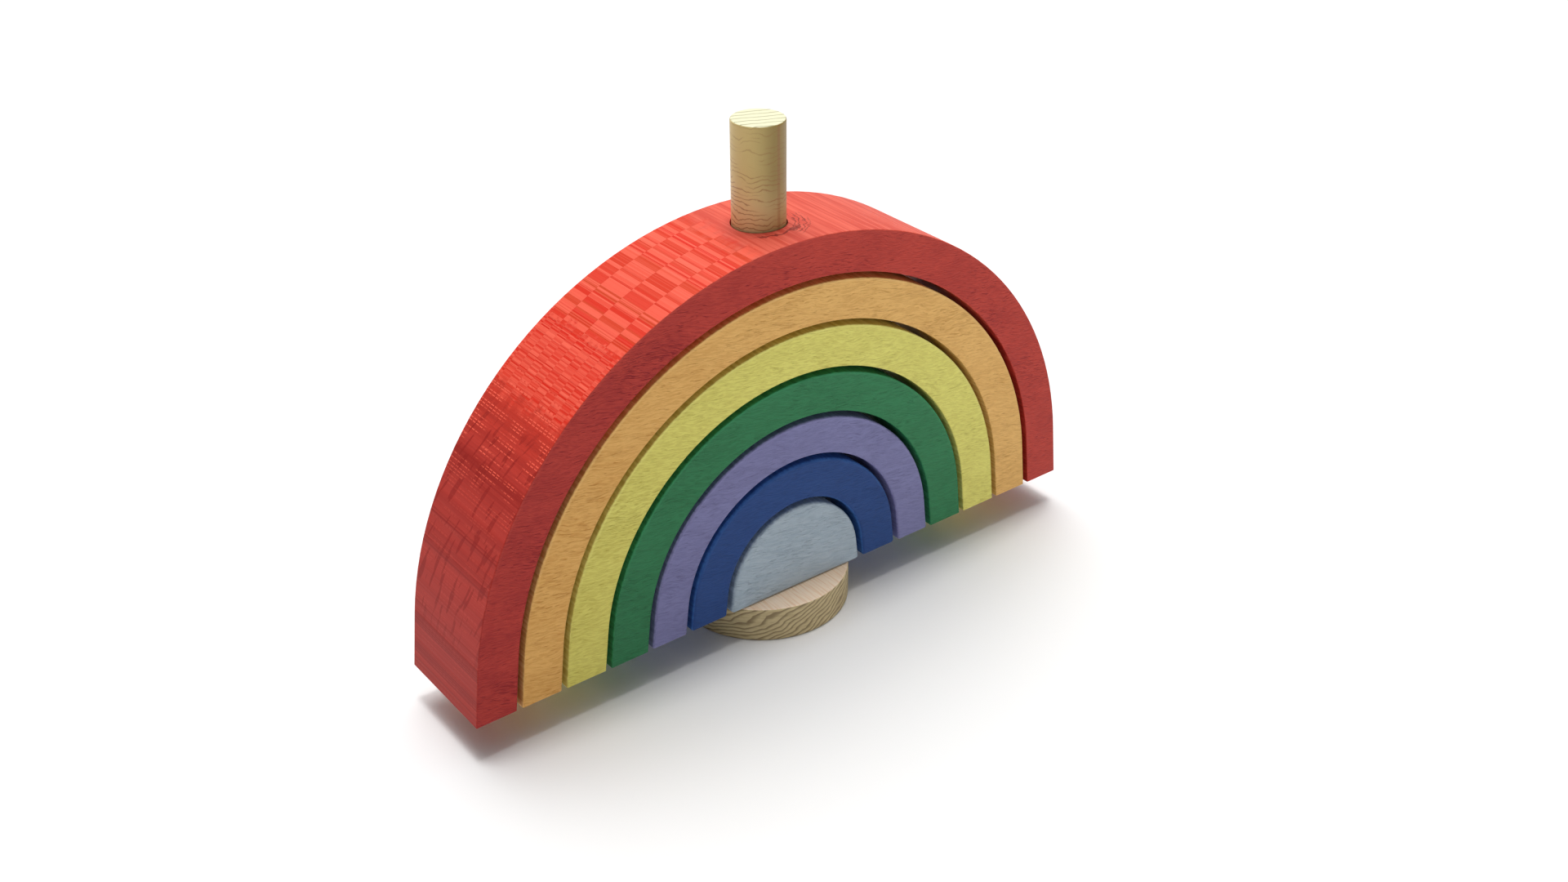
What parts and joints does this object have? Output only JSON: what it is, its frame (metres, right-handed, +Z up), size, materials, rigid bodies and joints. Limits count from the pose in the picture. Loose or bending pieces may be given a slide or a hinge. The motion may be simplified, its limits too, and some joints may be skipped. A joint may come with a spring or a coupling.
{
  "type": "rainbow stacking puzzle on a peg",
  "caption": "Wooden stacking puzzle: coloured arches nest over a half-round block, and an upright peg in a round base disc passes through the crown of every piece.",
  "frame": {"origin": "centre of the base disc's underside, on the peg's axis", "axes": "+X across the rainbow, +Y from its front face to its back face, +Z up along the peg"},
  "size_m": [0.257, 0.063, 0.18],
  "materials": {
    "natural_beech": "sanded bare wood, satin",
    "light_blue_stain": "matt water-based wood stain",
    "dark_blue_stain": "matt water-based wood stain",
    "purple_stain": "matt water-based wood stain",
    "green_stain": "matt water-based wood stain",
    "yellow_green_stain": "matt water-based wood stain",
    "orange_stain": "matt water-based wood stain",
    "red_stain": "matt water-based wood stain"
  },
  "bodies": {
    "base_disc": {"base_disc": "natural_beech"},
    "peg": {"peg": "natural_beech"},
    "light_blue_block": {"light_blue_block": "light_blue_stain"},
    "dark_blue_arch": {"dark_blue_arch": "dark_blue_stain"},
    "purple_arch": {"purple_arch": "purple_stain"},
    "green_arch": {"green_arch": "green_stain"},
    "yellow_arch": {"yellow_arch": "yellow_green_stain"},
    "orange_arch": {"orange_arch": "orange_stain"},
    "red_arch": {"red_arch": "red_stain"}
  },
  "joints": [
    {"name": "rainbow_turn", "type": "hinge", "parent": "base_disc", "child": "peg", "pos_m": [0, 0, 0.013], "axis": [0, 0, 1], "continuous": true},
    {"name": "light_blue_lift", "type": "slide", "parent": "peg", "child": "light_blue_block", "axis": [0, 0, 1], "range_m": [0, 0.172]},
    {"name": "dark_blue_lift", "type": "slide", "parent": "light_blue_block", "child": "dark_blue_arch", "axis": [0, 0, 1], "range_m": [0, 0.172]},
    {"name": "purple_lift", "type": "slide", "parent": "dark_blue_arch", "child": "purple_arch", "axis": [0, 0, 1], "range_m": [0, 0.172]},
    {"name": "green_lift", "type": "slide", "parent": "purple_arch", "child": "green_arch", "axis": [0, 0, 1], "range_m": [0, 0.172]},
    {"name": "yellow_lift", "type": "slide", "parent": "green_arch", "child": "yellow_arch", "axis": [0, 0, 1], "range_m": [0, 0.172]},
    {"name": "orange_lift", "type": "slide", "parent": "yellow_arch", "child": "orange_arch", "axis": [0, 0, 1], "range_m": [0, 0.172]},
    {"name": "red_lift", "type": "slide", "parent": "orange_arch", "child": "red_arch", "axis": [0, 0, 1], "range_m": [0, 0.172]}
  ]
}
